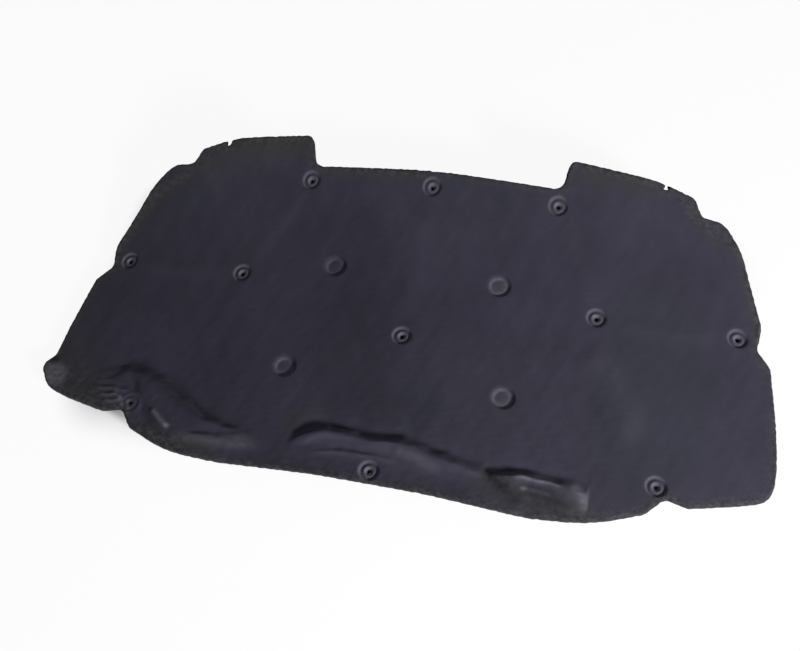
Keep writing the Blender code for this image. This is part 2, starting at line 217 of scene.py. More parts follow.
def right_corners():
    """The right half's corners from the far edge's middle to the near edge's: across, along, radius."""
    corner = HALF_WIDTH - 0.0085
    return [
        (RECESS_HALF_WIDTH, RECESS_LINE, RECESS_ROUND),
        (RECESS_HALF_WIDTH + 0.016, TOWER_LINE, TOWER_ROUND),
        (between(RECESS_HALF_WIDTH, SHOULDER_HALF_WIDTH, 0.67), TOWER_LINE - 0.012, GENTLE_ROUND),
        (between(RECESS_HALF_WIDTH, SHOULDER_HALF_WIDTH, 0.94), SHOULDER_LINE + 0.032, NOTCH_ROUND),
        (SHOULDER_HALF_WIDTH, SHOULDER_LINE, NOTCH_ROUND),
        (between(SHOULDER_HALF_WIDTH, NOTCH_BOTTOM, 0.34), SHOULDER_LINE - 0.003, CORNER_ROUND),
        (between(SHOULDER_HALF_WIDTH, NOTCH_BOTTOM, 0.66), SHOULDER_LINE - 0.0485, GENTLE_ROUND),
        (NOTCH_BOTTOM + 0.0075, SIDE_NOTCH_LINE + 0.045, SIDE_ROUND),
        (NOTCH_BOTTOM, SIDE_NOTCH_LINE, NOTCH_ROUND),
        (HALF_WIDTH - 0.016, SIDE_NOTCH_LINE - 0.032, NOTCH_ROUND),
        (HALF_WIDTH - 0.004, SIDE_NOTCH_LINE - 0.140, GENTLE_ROUND),
        (HALF_WIDTH, LIP_LINE + 0.007, GENTLE_ROUND),
        (corner, LIP_LINE - 0.047, CORNER_ROUND),
        (between(NEAR_NOTCH_HALF_WIDTH, corner, 0.70), NEAR_NOTCH_LINE + 0.0115, GENTLE_ROUND),
        (between(NEAR_NOTCH_HALF_WIDTH, corner, 0.23), NEAR_NOTCH_LINE - 0.011, NOTCH_ROUND),
        (NEAR_NOTCH_HALF_WIDTH, NEAR_NOTCH_LINE, NOTCH_ROUND),
        (0.940 * NEAR_NOTCH_HALF_WIDTH, NEAR_NOTCH_LINE - 0.0355, NOTCH_ROUND),
        (0.772 * NEAR_NOTCH_HALF_WIDTH, NEAR_LINE + 0.003, GENTLE_ROUND),
        (0.561 * NEAR_NOTCH_HALF_WIDTH, NEAR_LINE - 0.009, GENTLE_ROUND),
        (0.200 * NEAR_NOTCH_HALF_WIDTH, NEAR_LINE, GENTLE_ROUND),
    ]


# How far the photo's outline departs from the mirrored one at each corner, on each side: outward, farther
LEFT_SHIFTS = (
    (-0.003, -0.003), (-0.003, -0.001), (0, -0.001), (0, 0), (0, 0),
    (0.002, 0.002), (0.004, 0.002), (0.003, 0), (0, 0), (0.003, 0),
    (0.003, 0), (0, 0), (0, 0), (0, 0.001), (0, 0.005),
    (0, 0.003), (0, 0.002), (0, 0), (0, 0.005), (0, 0.002),
)
RIGHT_SHIFTS = (
    (0.003, 0), (-0.004, -0.001), (0, -0.004), (0, 0), (0, 0),
    (0, 0), (0, 0), (0, 0), (0, 0), (0, 0),
    (0, 0), (0, 0), (0, 0), (0, 0), (0, 0),
    (0.001, -0.002), (0, 0), (0, -0.002), (0, -0.001), (0, 0),
)


def pad_corners():
    """All corners, clockwise from the middle of the latch recess, with the lip at the left."""
    corners = right_corners()
    right, left = [
        [(side * (across + outward), along + farther, radius)
         for (across, along, radius), (outward, farther) in zip(corners, shifts)]
        for side, shifts in ((1, RIGHT_SHIFTS), (-1, LEFT_SHIFTS))
    ]
    left.reverse()
    side_end = left.index((-HALF_WIDTH, LIP_LINE + 0.007, GENTLE_ROUND))
    left[side_end:side_end + 1] = [
        (-HALF_WIDTH - LIP_REACH + 0.002, LIP_LINE - 0.012, RECESS_ROUND),
        (-HALF_WIDTH - LIP_REACH + 0.006, LIP_LINE + 0.006, TOWER_ROUND),
        (-HALF_WIDTH - 0.003, LIP_LINE + 0.020, TOWER_ROUND),
    ]
    return [(0, RECESS_LINE + RECESS_BOW, 1.0)] + right + left


def rounded(corners, arc_step=math.radians(5)):
    """The closed outline through the corners, each turned into an arc of its radius where it fits."""
    points = []
    for index, (across, along, radius) in enumerate(corners):
        here = Vector((across, along))
        before = Vector(corners[index - 1][:2]) - here
        after = Vector(corners[(index + 1) % len(corners)][:2]) - here
        turn = math.pi - before.angle(after)
        back_off = min(radius * math.tan(turn / 2), 0.48 * min(before.length, after.length))
        start = here + before.normalized() * back_off
        end = here + after.normalized() * back_off
        steps = max(1, math.ceil(turn / arc_step))
        for step in range(steps + 1):
            t = step / steps
            points.append((1 - t) ** 2 * start + 2 * t * (1 - t) * here + t ** 2 * end)
    return np.array([point[:] for point in points])


def with_slots(outline):
    """The outline with a slot let into the far edge of each tower, round at its end."""
    half = SLOT_WIDTH / 2
    turns = np.linspace(0, math.pi, 9)
    points = []
    for here, there in zip(outline, np.roll(outline, -1, axis=0)):
        far = here[1] > 0.2
        if not (far and min(abs(here[0] - side * SLOT_HALF_SPACING) for side in (-1, 1)) < half + 0.001):
            points.append(here)
        for middle, mouth in ((-SLOT_HALF_SPACING, SLOT_WIDTH), (SLOT_HALF_SPACING, RIGHT_SLOT_MOUTH)):
            if far and here[0] <= middle < there[0]:
                edge = between(here[1], there[1], (middle - here[0]) / (there[0] - here[0]))
                bottom = edge - SLOT_DEPTH + half
                points.append((middle - mouth / 2, edge))
                points += [(middle - half * math.cos(turn), bottom - half * math.sin(turn)) for turn in turns]
                points.append((middle + mouth / 2, edge))
    return np.array([tuple(point) for point in points])


def respaced(points, spacing):
    """The closed line with points at an even spacing, but none of its own tight turns lost."""
    out = []
    for here, there in zip(points, np.roll(points, -1, axis=0)):
        pieces = max(1, round(np.hypot(*(there - here)) / spacing))
        out += [here + (there - here) * step / pieces for step in range(pieces)]
    kept = [out[0]]
    for point in out[1:]:
        if np.hypot(*(point - kept[-1])) > 0.35 * spacing:
            kept.append(point)
    return np.array(kept)


def softened(points, passes):
    """The closed line with its corners eased, as a pressed edge has them."""
    for _ in range(passes):
        points = 0.25 * np.roll(points, 1, axis=0) + 0.5 * points + 0.25 * np.roll(points, -1, axis=0)
    return points


def distance_to_line(places, line, closed=False):
    """For each place: the distance to the line and the share of the way along it."""
    ends = np.roll(line, -1, axis=0) if closed else line[1:]
    starts = line if closed else line[:-1]
    best = np.full(len(places), 1e9)
    share = np.zeros(len(places))
    for index, (start, end) in enumerate(zip(starts, ends)):
        run = end - start
        offset = places - start
        t = np.clip((offset @ run) / (run @ run), 0, 1)
        gap = offset - t[:, None] * run
        away = np.hypot(gap[:, 0], gap[:, 1])
        nearer = away < best
        best[nearer] = away[nearer]
        share[nearer] = ((index + t) / len(starts))[nearer]
    return best, share


def inside(places, line):
    """Whether each place lies inside the closed line."""
    x, y = places[:, 0], places[:, 1]
    found = np.zeros(len(places), bool)
    for (x0, y0), (x1, y1) in zip(line, np.roll(line, -1, axis=0)):
        if y0 != y1:
            crosses = (y0 > y) != (y1 > y)
            found ^= crosses & (x < x0 + (y - y0) * (x1 - x0) / (y1 - y0))
    return found


def waves(places, height, length, seed):
    """Even, seeded unevenness from a few sine waves, about as far up and down as the height."""
    rng = np.random.default_rng(seed)
    total = np.zeros(len(places))
    for _ in range(WAVE_COUNT):
        angle = rng.uniform(0, 2 * math.pi)
        size = length * rng.uniform(0.7, 1.6)
        phase = rng.uniform(0, 2 * math.pi)
        along = places[:, 0] * math.cos(angle) + places[:, 1] * math.sin(angle)
        total += np.sin(along * 2 * math.pi / size + phase)
    return height * (total / math.sqrt(WAVE_COUNT))


# The slope up to a ridge's crest: an even part, and a part that rises late
EVEN_SHARE = 0.42
EVEN_POWER = 1.2
LATE_SHARE = 0.58
LATE_RUN = (0.5, 1.02)
# The fall behind the crest, and the groove at its foot: depth as a share of the ridge's height, then
# middle and half width as shares of the run
RIDGE_BACK_RUN = 0.0215
BACK_START = -0.05
GROOVE_DEPTH = 0.12
GROOVE_MIDDLE = 1.1
GROOVE_HALF_WIDTH = 0.45
RIDGE_NEAR = NEAR_LINE + 0.0025
RIDGE_STEP = 0.1

# Raised ridges along the near edge, from left to right: across, how far the crest and the foot lie
# from the near edge, and the height
LEFT_RIDGE = (
    (-0.560, 0.112, 0.085, 0.0), (-0.535, 0.128, 0.092, 0.0012), (-0.512, 0.143, 0.095, 0.0040),
    (-0.489, 0.143, 0.088, 0.0080), (-0.457, 0.131, 0.066, 0.0110), (-0.428, 0.119, 0.050, 0.0120),
    (-0.399, 0.102, 0.042, 0.0120), (-0.363, 0.081, 0.036, 0.0125), (-0.329, 0.064, 0.030, 0.0125),
    (-0.293, 0.053, 0.028, 0.0100), (-0.259, 0.046, 0.026, 0.0070), (-0.215, 0.042, 0.026, 0.0),
)
MIDDLE_RIDGE = (
    (-0.158, 0.051, 0.020, 0.0), (-0.128, 0.062, 0.022, 0.0105), (-0.088, 0.074, 0.028, 0.0135),
    (-0.007, 0.067, 0.032, 0.0130), (0.045, 0.073, 0.032, 0.0130), (0.121, 0.056, 0.028, 0.0115),
    (0.165, 0.050, 0.026, 0.0095), (0.205, 0.046, 0.026, 0.0),
)
RIGHT_RIDGE = (
    (0.186, 0.026, 0.020, 0.0), (0.203, 0.036, 0.020, 0.0100), (0.230, 0.046, 0.018, 0.0120),
    (0.270, 0.049, 0.012, 0.0115), (0.305, 0.049, 0.010, 0.0110), (0.336, 0.045, 0.008, 0.0105),
    (0.3705, 0.043, 0.010, 0.0110),
)
# The right ridge's slanted left end and the facet at its square right end: (along, across) at two lines
RIGHT_RIDGE_START = ((-0.324, 0.264), (-0.285, 0.199))
RIGHT_RIDGE_FACET = ((-0.325, 0.373), (-0.289, 0.340))
START_RUN = (-0.004, 0.014)
FACET_RUN = 0.030
FACET_DROP = 0.40
SQUARE_END_RUN = 0.0055


def on_curve(before, here, there, after, t):
    """The place at share t of the way from here to there, on a smooth curve through all four."""
    bend = 2 * before - 5 * here + 4 * there - after + (3 * (here - there) + after - before) * t
    return here + 0.5 * t * (there - before + t * bend)


def ridge_rows(stations):
    """The ridge's crest, foot and height at evenly spaced places across, on a smooth curve."""
    table = np.array(stations)
    padded = np.concatenate([table[:1], table, table[-1:]])
    rows = []
    for before, here, there, after in zip(padded, padded[1:], padded[2:], padded[3:]):
        for t in np.arange(0, 1, RIDGE_STEP):
            row = on_curve(before, here, there, after, t)
            row[0] = between(here[0], there[0], t)
            rows.append(row)
    return np.array(rows + [table[-1]])


def slanted(line, along):
    """Where the slanted line, given as two places, lies across at these places along."""
    (first_along, first_across), (last_along, last_across) = line
    return between(first_across, last_across, (along - first_along) / (last_along - first_along))


def ridge_height(places, stations, square_end=False):
    """One ridge: a slope that rises from the near edge, a steep far side and a groove behind it."""
    rows = ridge_rows(stations)
    x, y = places[:, 0], places[:, 1]
    crest = RIDGE_NEAR + np.interp(x, rows[:, 0], rows[:, 1])
    foot = RIDGE_NEAR + np.interp(x, rows[:, 0], rows[:, 2])
    high = np.interp(x, rows[:, 0], rows[:, 3], left=0, right=rows[-1, 3] if square_end else 0)
    up = np.clip((y - foot) / (crest - foot), 0, 1)
    rise = EVEN_SHARE * up ** EVEN_POWER + LATE_SHARE * smooth(*LATE_RUN, up)
    crest = crest + waves(places, *CREST_WAVES)
    past = (y - crest) / (RIDGE_BACK_RUN * (1 + waves(places, *BACK_WAVES)))
    fall = 1 - smooth(BACK_START, 1, past)
    groove = GROOVE_DEPTH * np.exp(-((past - GROOVE_MIDDLE) / GROOVE_HALF_WIDTH) ** 2)
    shape = np.where(past < 0, rise, fall - groove)
    if square_end:
        shape = shape * (1 - smooth(rows[-1, 0], rows[-1, 0] + SQUARE_END_RUN, x))
    return np.maximum(high, 0) * shape


def ridge_heights(places):
    """All the ridges, with the right one's slanted start, end facet and end wall."""
    x, y = places[:, 0], places[:, 1]
    right = ridge_height(places, RIGHT_RIDGE, square_end=True)
    facet = np.clip((x - slanted(RIGHT_RIDGE_FACET, y)) / FACET_RUN, 0, 1)
    right *= smooth(*START_RUN, x - slanted(RIGHT_RIDGE_START, y)) * (1 - FACET_DROP * facet)
    return ridge_height(places, LEFT_RIDGE) + ridge_height(places, MIDDLE_RIDGE) + right


# Folds, creases and changes of tone: the points of each, then its height, its half width and how much paler
# its felt is painted:
# mostly painted highlight along lit crests and painted shade along the far sides of ridges, grooves and
# hollows, with some broad changes of tone; negative for a hollow and for darker felt, which is painted shade
# along ridges, grooves and hollows. Each fades out over a share of its length at either end.
FOLD_END = 0.22
FOLDS = (
    (((-0.582, -0.204), (-0.562, -0.212), (-0.541, -0.209), (-0.522, -0.214), (-0.500, -0.211)),
     0.0014, 0.0050, 0.03),
    (((-0.572, -0.221), (-0.552, -0.227), (-0.531, -0.223), (-0.512, -0.229), (-0.490, -0.226)),
     0.0020, 0.0044, 0.12),
    (((-0.562, -0.235), (-0.541, -0.240), (-0.520, -0.236), (-0.500, -0.243), (-0.482, -0.241)),
     0.0021, 0.0039, 0.16),
    (((-0.546, -0.247), (-0.528, -0.252), (-0.508, -0.248), (-0.492, -0.257), (-0.474, -0.260)),
     0.0021, 0.0037, 0.16),
    (((-0.575, -0.214), (-0.545, -0.219), (-0.515, -0.217), (-0.492, -0.220)), -0.0010, 0.0040, -0.12),
    (((-0.562, -0.229), (-0.532, -0.232), (-0.505, -0.233), (-0.486, -0.236)), -0.0010, 0.0036, -0.10),
    (((-0.590, -0.192), (-0.560, -0.184), (-0.535, -0.177), (-0.505, -0.172)), -0.0012, 0.0080, -0.26),
    (((-0.610, -0.215), (-0.585, -0.222), (-0.560, -0.205)), -0.0008, 0.0080, -0.12),
    # The long S-shaped band behind the left ridge: painted shade
    (((-0.550, -0.184), (-0.515, -0.172), (-0.492, -0.171), (-0.460, -0.186), (-0.428, -0.201),
      (-0.399, -0.218), (-0.363, -0.237), (-0.329, -0.254), (-0.293, -0.265), (-0.225, -0.278)),
     -0.0022, 0.0125, -0.64),
    (((-0.506, -0.188), (-0.484, -0.217), (-0.466, -0.246), (-0.441, -0.272), (-0.412, -0.294)),
     -0.0030, 0.0085, -0.26),
    # A short bright fold with its painted highlight
    (((-0.438, -0.256), (-0.424, -0.266), (-0.408, -0.278), (-0.388, -0.291)), 0.0036, 0.0048, 0.27),
    (((-0.458, -0.205), (-0.430, -0.240)), 0.0010, 0.0110, 0.02),
    (((-0.330, -0.266), (-0.279, -0.278), (-0.224, -0.285)), 0.0018, 0.0044, 0.05),
    (((-0.356, -0.291), (-0.314, -0.288), (-0.276, -0.285), (-0.238, -0.281)), -0.0026, 0.0050, -0.22),
    (((-0.395, -0.299), (-0.319, -0.302), (-0.260, -0.303), (-0.192, -0.301)), 0.0030, 0.0110, 0.16),
    # Along the far side of the middle ridge: painted shade
    (((-0.152, -0.277), (-0.130, -0.261), (-0.090, -0.242), (-0.040, -0.243), (-0.008, -0.250),
      (0.046, -0.245), (0.123, -0.264), (0.165, -0.272), (0.210, -0.280)), 0, 0.0085, -0.44),
    (((-0.150, -0.276), (-0.120, -0.257), (-0.080, -0.245)), 0, 0.0058, -0.28),
    (((-0.135, -0.286), (-0.110, -0.272), (-0.083, -0.265), (-0.009, -0.265)), 0.0014, 0.0044, 0.05),
    (((-0.125, -0.300), (-0.067, -0.291), (-0.012, -0.289), (0.055, -0.290)), 0.0018, 0.0040, 0.05),
    (((-0.085, -0.282), (-0.041, -0.280), (0.010, -0.282)), -0.0018, 0.0036, -0.12),
    (((0.028, -0.273), (0.056, -0.274), (0.085, -0.282), (0.130, -0.297)), 0.0030, 0.0085, 0.10),
    # Round the right ridge's slanted left end and along its far side: painted shade
    (((0.186, -0.291), (0.203, -0.283), (0.231, -0.272), (0.262, -0.269)), 0, 0.0085, -0.34),
    (((0.250, -0.270), (0.290, -0.270), (0.345, -0.274)), 0, 0.0060, -0.16),
    (((0.196, -0.288), (0.222, -0.292), (0.246, -0.298)), -0.0006, 0.0110, -0.38),
    (((0.210, -0.294), (0.238, -0.306), (0.268, -0.324)), -0.0010, 0.0135, -0.40),
    (((0.265, -0.298), (0.300, -0.306), (0.350, -0.312)), 0, 0.0170, -0.46),
    # Pale streaks on the right ridge and its end facet: painted highlights
    (((0.236, -0.284), (0.262, -0.281), (0.284, -0.285), (0.309, -0.283), (0.336, -0.288)),
     0.0026, 0.0042, 0.42),
    (((0.250, -0.292), (0.285, -0.292), (0.320, -0.295)), -0.0014, 0.0030, -0.14),
    (((0.252, -0.300), (0.282, -0.298), (0.318, -0.303)), 0.0018, 0.0036, 0.32),
    (((0.340, -0.276), (0.362, -0.290), (0.373, -0.326)), 0.0004, 0.0085, 0.22),
    (((0.3755, -0.268), (0.3770, -0.300), (0.3775, -0.338)), 0, 0.0030, -0.09),
    (((-0.290, -0.322), (-0.100, -0.330), (0.100, -0.330), (0.220, -0.332)), 0, 0.0200, -0.16),
    (((0.328, -0.007), (0.376, -0.050), (0.414, -0.115), (0.446, -0.190)), 0.0042, 0.0300, 0.032),
    (((0.330, -0.100), (0.360, -0.150), (0.392, -0.215)), -0.0010, 0.0200, -0.05),
    (((-0.254, 0.250), (-0.305, 0.150), (-0.345, 0.075)), 0.0018, 0.0200, 0.018),
    (((0.001, 0.250), (-0.008, 0.130), (-0.004, -0.015)), 0.0016, 0.0240, 0.016),
    (((0.253, 0.245), (0.310, 0.150), (0.345, 0.075)), 0.0016, 0.0180, 0.010),
    (((-0.585, 0.062), (-0.500, 0.050), (-0.368, 0.054)), 0.0018, 0.0160, 0.018),
    (((0.370, 0.052), (0.480, 0.050), (0.585, 0.062)), 0.0014, 0.0160, 0.010),
    # The dark spot behind the lifted lip: painted shadow
    (((-0.690, -0.180), (-0.680, -0.176), (-0.668, -0.176)), -0.0010, 0.0060, -0.75),
    (((-0.500, 0.240), (-0.420, 0.290), (-0.280, 0.310)), 0, 0.0400, 0.034),
    (((-0.140, 0.260), (-0.110, 0.110), (-0.090, -0.060), (-0.110, -0.235)), 0, 0.0850, -0.20),
    (((-0.062, -0.200), (0.030, -0.188), (0.120, -0.200)), 0, 0.0500, -0.17),
    (((-0.640, 0.030), (-0.632, 0.110), (-0.598, 0.200), (-0.550, 0.248), (-0.480, 0.292)), 0, 0.0100, 0.045),
)


# Where the felt is greyer and less violet: the points of each patch, its half width and its share
GREY_PATCHES = (
    (((0.205, -0.300), (0.290, -0.312), (0.370, -0.316)), 0.022, 0.75),
    (((-0.440, -0.302), (-0.380, -0.316), (-0.300, -0.318)), 0.016, 0.70),
    (((-0.210, 0.284), (-0.130, 0.290), (-0.030, 0.292)), 0.014, 0.70),
    (((-0.165, -0.245), (-0.120, -0.222)), 0.022, 0.60),
    (((-0.650, -0.160), (-0.600, -0.215), (-0.560, -0.245)), 0.040, 0.60),
    (((0.300, 0.325), (0.400, 0.318)), 0.020, 0.50),
    (((-0.520, 0.270), (-0.430, 0.312), (-0.290, 0.325)), 0.026, 0.60),
    (((0.500, 0.290), (0.530, 0.262), (0.620, 0.215)), 0.018, 0.55),
    (((-0.640, 0.050), (-0.628, 0.120), (-0.590, 0.200), (-0.520, 0.258)), 0.018, 0.65),
    (((0.608, 0.190), (0.630, 0.125), (0.640, 0.070)), 0.010, 0.50),
)


# Where the felt is speckled, in the same form
SPECKLED_PATCHES = (
    (((-0.450, -0.292), (-0.415, -0.306), (-0.360, -0.318)), 0.014, 0.60),
    (((-0.680, -0.200), (-0.620, -0.215), (-0.540, -0.255)), 0.030, 0.35),
    (((0.215, -0.300), (0.290, -0.314), (0.350, -0.320)), 0.018, 0.22),
    (((-0.210, 0.290), (-0.130, 0.294), (-0.030, 0.296)), 0.010, 0.25),
    (((0.280, 0.342), (0.360, 0.338), (0.440, 0.330)), 0.008, 0.22),
    (((0.480, 0.302), (0.525, 0.268), (0.600, 0.240)), 0.011, 0.36),
    (((-0.560, 0.255), (-0.500, 0.290), (-0.430, 0.325), (-0.300, 0.336)), 0.010, 0.22),
    (((-0.642, 0.050), (-0.632, 0.120), (-0.594, 0.208), (-0.530, 0.256)), 0.011, 0.50),
    (((0.606, 0.205), (0.634, 0.130), (0.642, 0.070)), 0.007, 0.32),
)
# Where the felt is bluer, in the same form
BLUE_PATCHES = (
    (((0.430, 0.060), (0.490, -0.050), (0.500, -0.170)), 0.075, 0.60),
)


def curved(points, steps=8):
    """A smooth line through the points."""
    table = np.array(points)
    if len(table) == 2:
        return table
    padded = np.concatenate([2 * table[:1] - table[1:2], table, 2 * table[-1:] - table[-2:-1]])
    line = [
        on_curve(before, here, there, after, t)
        for before, here, there, after in zip(padded, padded[1:], padded[2:], padded[3:])
        for t in np.arange(steps) / steps
    ]
    return np.array(line + [table[-1]])


def distance_to(places, centre):
    """Each place's distance from the centre."""
    return np.hypot(*(places - centre).T)


def folded(places):
    """How high the folds and creases stand at these places, and how much paler or darker they are painted,
    mostly as painted highlight and shade.
    """
    heights = np.zeros(len(places))
    fold_light_and_tone = np.zeros(len(places))
    for points, height, half_width, painted_light_and_tone in FOLDS:
        line = curved(points)
        reach = 3 * half_width
        near = ((places > line.min(axis=0) - reach) & (places < line.max(axis=0) + reach)).all(axis=1)
        away, share = distance_to_line(places[near], line)
        shape = np.exp(-(away / half_width) ** 2) * smooth(0, FOLD_END, share)
        shape *= smooth(0, FOLD_END, 1 - share)
        heights[near] += height * shape
        fold_light_and_tone[near] += painted_light_and_tone * shape
    return heights, fold_light_and_tone


def patch_share(places, patches):
    """How far each place lies in one of the patches: each one's share along its middle, fading out."""
    share = np.zeros(len(places))
    for points, half_width, most in patches:
        away, _ = distance_to_line(places, curved(points))
        share = np.maximum(share, most * np.exp(-(away / half_width) ** 2))
    return share


def round_values(places, centres, section, lost_share=1):
    """The section's value at each place round the centres, with only a share of it at the lost seat."""
    radii = [radius for radius, _ in reversed(section)]
    values = [value for _, value in reversed(section)]
    total = np.zeros(len(places))
    for centre in centres:
        away = distance_to(places, centre)
        near = away < section[0][0]
        total[near] = np.interp(away[near], radii, values) * (lost_share if centre == LOST_SEAT else 1)
    return total


def near_seat(places):
    """1 within a clip seat, 0 clear of it."""
    share = np.zeros(len(places))
    start, end = SEAT_RADIUS + CALM_RUN[0], SEAT_RADIUS + CALM_RUN[1]
    for centre in SEATS:
        share = np.maximum(share, 1 - smooth(start, end, distance_to(places, centre)))
    return share


def curve_height(places):
    """How far the curve that the pad is formed to lies above its flat drawing."""
    across, along = places[:, 0], places[:, 1]
    side = -SIDE_DROP * (across / HALF_WIDTH) ** 2
    past_start = np.maximum(0, along - FAR_RISE_START) / (TOWER_LINE - FAR_RISE_START)
    past_lip = np.maximum(0, -across - HALF_WIDTH + LIP_START) / (LIP_START + LIP_REACH)
    beside_lip = np.clip((LIP_LINE + LIP_SIDE_RUN - along) / LIP_SIDE_RUN, 0, 1)
    return side + FAR_RISE * past_start ** 2 + LIP_LIFT * past_lip ** 2 * beside_lip


def formed_height(places):
    """The same curve with each clip seat levelled to one plane."""
    heights = curve_height(places)
    start, end = SEAT_RADIUS + LEVEL_RUN[0], SEAT_RADIUS + LEVEL_RUN[1]
    step = 0.001
    for centre in SEATS:
        steady = 1 - smooth(start, end, distance_to(places, centre))
        near = steady > 0
        probe = curve_height(np.array([centre, (centre[0] + step, centre[1]), (centre[0], centre[1] + step)]))
        plane = probe[0] + (places - centre) @ ((probe[1:] - probe[0]) / step)
        heights[near] += (steady * (plane - heights))[near]
    return heights


def rounded_drop(edge):
    """How far the rounded rim falls short of a square one, on either side, at this distance from the edge."""
    inset = np.minimum(edge, EDGE_ROUND)
    return EDGE_ROUND - np.sqrt(np.maximum(0, EDGE_ROUND ** 2 - (EDGE_ROUND - inset) ** 2))


def top_height(places, edge):
    """The felt's upper surface over its flat underside, for places at this distance from the edge."""
    calm = 1 - near_seat(places)
    inner = smooth(0.0, RELIEF_RUN, edge)
    lumps = waves(places, *SLOW_LUMPS) + waves(places, *QUICK_LUMPS)
    ragged = waves(places, *EDGE_LUMPS) * np.exp(-edge / EDGE_LUMPS_REACH)
    folds, _ = folded(places)
    surface = (folds + lumps) * calm * inner + ragged + ridge_heights(places) * inner
    pressed = round_values(places, SEATS, SEAT_SECTION, LOST_DEPTH_SHARE)
    pressed += round_values(places, DISCS, DISC_SECTION)
    return THICKNESS - rounded_drop(edge) + surface - pressed


def grid_points(spacing, low, high, seed):
    """A staggered, slightly uneven field of points over the box."""
    rng = np.random.default_rng(seed)
    rows = np.arange(low[1], high[1], spacing * math.sqrt(0.75))
    columns = np.arange(low[0], high[0], spacing)
    field = np.array([(x + (index % 2) * spacing / 2, y) for index, y in enumerate(rows) for x in columns])
    return field + rng.uniform(-FIELD_UNEVENNESS, FIELD_UNEVENNESS, field.shape) * spacing


def field_points(outline, spacing, fine_spacing=None):
    """Points over the pad, finer along the near edge if asked."""
    low, high = outline.min(axis=0), outline.max(axis=0)
    points = grid_points(spacing, low, high, FIELD_SEED)
    if fine_spacing:
        fine = grid_points(fine_spacing, (low[0], low[1]), (FINE_END, FINE_LINE), FINE_SEED)
        in_fine = (points[:, 1] < FINE_LINE) & (points[:, 0] < FINE_END)
        points = np.concatenate([points[~in_fine], fine])
    return points[inside(points, outline)]


def ring_points(centres, section):
    """Circles of points round each centre, one for each step of the section."""
    rings = []
    for centre in centres:
        for index, (radius, _) in enumerate(section):
            if radius == 0:
                rings.append(np.array([centre]))
                continue
            around = RING_COUNT if radius > SMALL_RING_RADIUS else RING_COUNT // 2
            turn = (np.arange(around) + 0.5 * (index % 2)) * 2 * math.pi / around
            x = centre[0] + radius * np.cos(turn)
            y = centre[1] + radius * np.sin(turn)
            rings.append(np.stack([x, y], axis=1))
    return np.concatenate(rings)


def clear_of(points, centres, radius):
    """The points that lie farther than the radius from every centre."""
    keep = np.ones(len(points), bool)
    for centre in centres:
        keep &= distance_to(points, centre) > radius
    return points[keep]


def rim_points(outline, insets):
    """Lines of points inside the outline at each inset, left out where they would run together."""
    before, after = np.roll(outline, 1, axis=0), np.roll(outline, -1, axis=0)
    run = after - before
    run /= np.hypot(run[:, 0], run[:, 1])[:, None]
    inward = np.stack([run[:, 1], -run[:, 0]], axis=1)
    least_share = 0.93
    lines = []
    for inset in insets:
        points = outline + inward * inset
        away, _ = distance_to_line(points, outline, closed=True)
        good = (away > least_share * inset) & inside(points, outline)
        lines.append(points[good])
    return np.concatenate(lines)


def light_and_tone_share(places):
    """How much paler than plain felt these places are painted: paler pressed felt and tone, and painted
    highlights; negative where painted shade darkens them.
    """
    share = round_values(places, SEATS, SEAT_LIGHT_AND_TONE, LOST_PALE_SHARE) + round_values(places, DISCS, DISC_LIGHT_AND_TONE)
    _, folds = folded(places)
    uneven = waves(places, *LIP_WAVES)
    lip_edge = distance_to(places, LIP_MIDDLE) + LIP_WANDER * uneven
    # Painted highlight on the lip, then the pale specks
    spots = LIP_HIGHLIGHT * (1 - smooth(*LIP_FADE, lip_edge)) * (1 + LIP_MOTTLE * uneven)
    for speck in SPECKS:
        spots += SPECK_PALE * np.exp(-(distance_to(places, speck) / SPECK_RADIUS) ** 2)
    return (share + folds * (1 - near_seat(places)) + spots) * (1 + waves(places, *PALE_WAVES))


def wide_rim(places):
    """Where the greyer rim reaches far in: at the left side and along the tops of the two towers."""
    x, y = places[:, 0], places[:, 1]
    return np.maximum(smooth(*WIDE_RIM_SIDE, -x), smooth(*WIDE_RIM_FAR, y))


def fading(edge, share, reach):
    """A share that fades away with the distance from the edge."""
    return share * np.exp(-edge / reach)


def felt_shares(places, edge, top_count, holes):
    """What the material reads at each point, the top's points first: how pale its felt is with painted
    highlights, how grey, blue and speckled it is, and how dark its painted shade is. The slice tells which of
    either side's points stand round the clip holes."""
    line_share = np.exp(-((edge[:top_count] - RIM_LINE_INSET) / RIM_LINE_HALF_WIDTH) ** 2)
    share = light_and_tone_share(places[:top_count]) + RIM_LINE_PALE * line_share
    share = np.concatenate([share, np.zeros(len(places) - top_count)])
    rim = fading(edge, *RIM_GREY) + fading(edge, *WIDE_RIM_GREY) * wide_rim(places)
    # Painted shade: the darker share of folds, seats and discs, a thin line along the rounded edge, and the
    # clip holes' walls
    painted_shade = np.maximum(-share, 0) + fading(edge, *RIM_SHADE)
    # The clip holes' walls: painted shade
    painted_shade[:top_count][holes] = HOLE_SHADE
    painted_shade[top_count:][holes] = 1
    return {
        "painted_light_and_tone": np.maximum(share, 0),
        "rim": np.minimum(1, rim + patch_share(places, GREY_PATCHES)),
        "painted_shade": painted_shade,
        "blue": patch_share(places, BLUE_PATCHES),
        "speck": np.minimum(1, fading(edge, *RIM_SPECKLED) + patch_share(places, SPECKLED_PATCHES)),
    }


